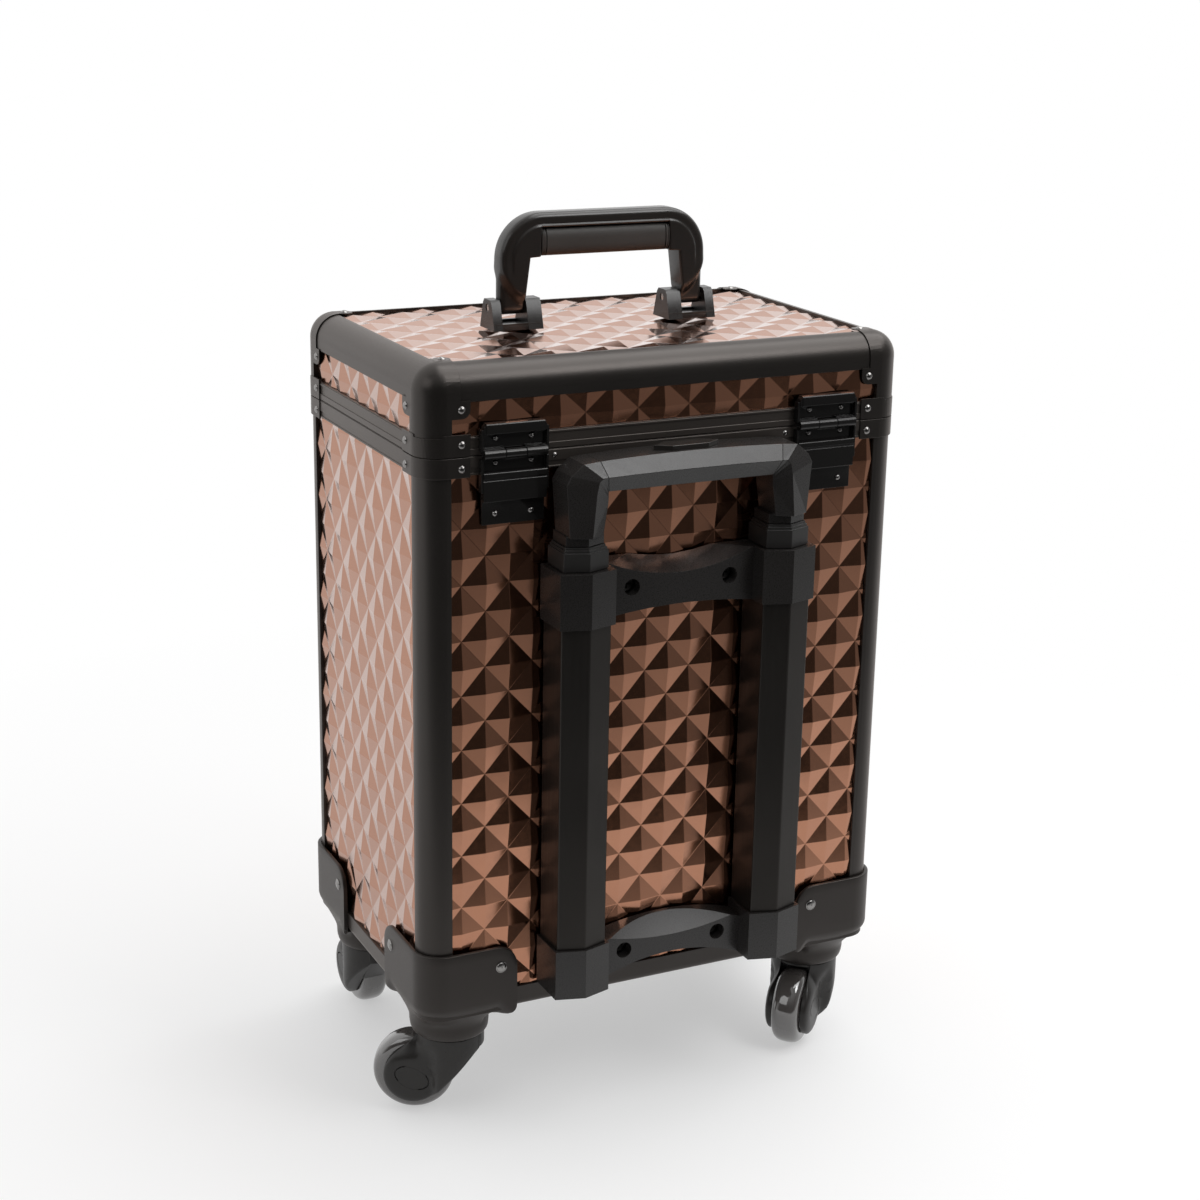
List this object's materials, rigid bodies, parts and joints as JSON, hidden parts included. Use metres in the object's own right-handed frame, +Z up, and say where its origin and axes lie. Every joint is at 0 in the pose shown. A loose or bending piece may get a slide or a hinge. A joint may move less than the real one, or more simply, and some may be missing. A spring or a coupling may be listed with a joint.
{
  "type": "rolling beauty case",
  "caption": "Upright rolling case with a black frame, diamond-relief panels, a hinged lid, a folding carry handle, a telescopic trolley handle and swivel casters",
  "frame": {"origin": "on the floor under the middle of the object's box at rest", "axes": "+Z up, latches face -Y, trolley handle on +Y, +X to the right seen from the latches"},
  "size_m": [0.3754, 0.269, 0.592],
  "materials": {
    "rose_panel": "metallised rose-gold sheet pressed into diamond pyramids, on a thin board",
    "frame": "satin warm black powder coat on aluminium profile",
    "bracket_plastic": "satin warm black moulded plastic",
    "black_fittings": "semi-gloss black enamel",
    "steel": "plain bright steel",
    "tube": "black anodised with a fine brushed grain",
    "grip_plastic": "fine-grained moulded plastic",
    "gloss_plastic": "polished moulded plastic",
    "soft_grip": "matt soft-touch sleeve",
    "lining": "matt black foam sheet",
    "board": "black-stained plywood",
    "tyre": "glossy black polyurethane",
    "hub": "moulded nylon"
  },
  "bodies": {
    "case": {"back_panel": "rose_panel", "front_panel": "rose_panel", "side_panels": "rose_panel", "bottom_panel": "board", "corner_posts": "frame", "body_rim": "frame", "bottom_rails": "frame", "body_seam_plates": "frame", "body_rivets": "steel", "body_lining": "lining", "caster_brackets": "bracket_plastic", "swivel_pins": "steel", "trolley_rails": "tube", "upper_bracket": "grip_plastic", "lower_bracket": "grip_plastic", "bracket_screws": "steel", "hinge_body_leaves": "black_fittings", "pivot_pins": "steel", "latch_bases": "black_fittings"},
    "lid": {"lid_top_panel": "rose_panel", "lid_side_panels": "rose_panel", "lid_rim": "frame", "lid_top_rails": "frame", "lid_corner_caps": "frame", "lid_seam_plates": "frame", "lid_rivets": "steel", "lid_lining": "lining", "handle_bases": "grip_plastic", "handle_pins": "steel", "hinge_lid_leaves": "black_fittings", "latch_keepers": "black_fittings"},
    "carry_handle": {"carry_handle": "gloss_plastic", "handle_grip": "soft_grip"},
    "trolley_middle": {"middle_tubes": "tube", "middle_collars": "grip_plastic"},
    "trolley_grip": {"inner_tubes": "tube", "grip_elbows": "grip_plastic", "grip_bar": "grip_plastic"},
    "release_button": {"grip_button": "gloss_plastic", "release_rods": "steel"},
    "latch_left": {"latch_lever_left": "black_fittings"},
    "latch_right": {"latch_lever_right": "black_fittings"},
    "caster_rear_right": {"fork_rear_right": "gloss_plastic", "axle_rear_right": "steel"},
    "wheel_rear_right": {"hub_rear_right": "hub", "tyre_rear_right": "tyre"},
    "caster_front_right": {"fork_front_right": "gloss_plastic", "axle_front_right": "steel"},
    "wheel_front_right": {"hub_front_right": "hub", "tyre_front_right": "tyre"},
    "caster_rear_left": {"fork_rear_left": "gloss_plastic", "axle_rear_left": "steel"},
    "wheel_rear_left": {"hub_rear_left": "hub", "tyre_rear_left": "tyre"},
    "caster_front_left": {"fork_front_left": "gloss_plastic", "axle_front_left": "steel"},
    "wheel_front_left": {"hub_front_left": "hub", "tyre_front_left": "tyre"}
  },
  "joints": [
    {"name": "lid_hinge", "type": "hinge", "parent": "case", "child": "lid", "pos_m": [0, 0.1035, 0.462], "axis": [1, 0, 0], "range_deg": [-90, 0]},
    {"name": "carry_handle_fold", "type": "hinge", "parent": "lid", "child": "carry_handle", "pos_m": [0, -0.01, 0.531], "axis": [1, 0, 0], "range_deg": [-85, 85]},
    {"name": "trolley_middle_slide", "type": "slide", "parent": "case", "child": "trolley_middle", "axis": [0, 0, 1], "range_m": [0, 0.215]},
    {"name": "trolley_grip_slide", "type": "slide", "parent": "trolley_middle", "child": "trolley_grip", "axis": [0, 0, 1], "range_m": [0, 0.21]},
    {"name": "button_press", "type": "slide", "parent": "trolley_grip", "child": "release_button", "axis": [0, 0, -1], "range_m": [0, 0.0026], "stiffness_N_per_m": 2000, "springref_m": -0.002},
    {"name": "latch_left_turn", "type": "hinge", "parent": "case", "child": "latch_left", "pos_m": [-0.095, -0.125, 0.437], "axis": [1, 0, 0], "range_deg": [0, 100]},
    {"name": "latch_right_turn", "type": "hinge", "parent": "case", "child": "latch_right", "pos_m": [0.095, -0.125, 0.437], "axis": [1, 0, 0], "range_deg": [0, 100]},
    {"name": "swivel_rear_right", "type": "hinge", "parent": "case", "child": "caster_rear_right", "pos_m": [0.139, 0.063, 0.059], "axis": [0, 0, 1], "continuous": true},
    {"name": "wheel_rear_right_spin", "type": "hinge", "parent": "caster_rear_right", "child": "wheel_rear_right", "pos_m": [0.16038, 0.0521, 0.0275], "axis": [0.454, 0.891, 0], "continuous": true},
    {"name": "swivel_front_right", "type": "hinge", "parent": "case", "child": "caster_front_right", "pos_m": [0.139, -0.083, 0.059], "axis": [0, 0, 1], "continuous": true},
    {"name": "wheel_front_right_spin", "type": "hinge", "parent": "caster_front_right", "child": "wheel_front_right", "pos_m": [0.139, -0.107, 0.0275], "axis": [1, 0, 0], "continuous": true},
    {"name": "swivel_rear_left", "type": "hinge", "parent": "case", "child": "caster_rear_left", "pos_m": [-0.139, 0.063, 0.059], "axis": [0, 0, 1], "continuous": true},
    {"name": "wheel_rear_left_spin", "type": "hinge", "parent": "caster_rear_left", "child": "wheel_rear_left", "pos_m": [-0.12145, 0.07937, 0.0275], "axis": [-0.682, 0.7314, 0], "continuous": true},
    {"name": "swivel_front_left", "type": "hinge", "parent": "case", "child": "caster_front_left", "pos_m": [-0.139, -0.083, 0.059], "axis": [0, 0, 1], "continuous": true},
    {"name": "wheel_front_left_spin", "type": "hinge", "parent": "caster_front_left", "child": "wheel_front_left", "pos_m": [-0.16038, -0.0721, 0.0275], "axis": [-0.454, -0.891, 0], "continuous": true}
  ]
}
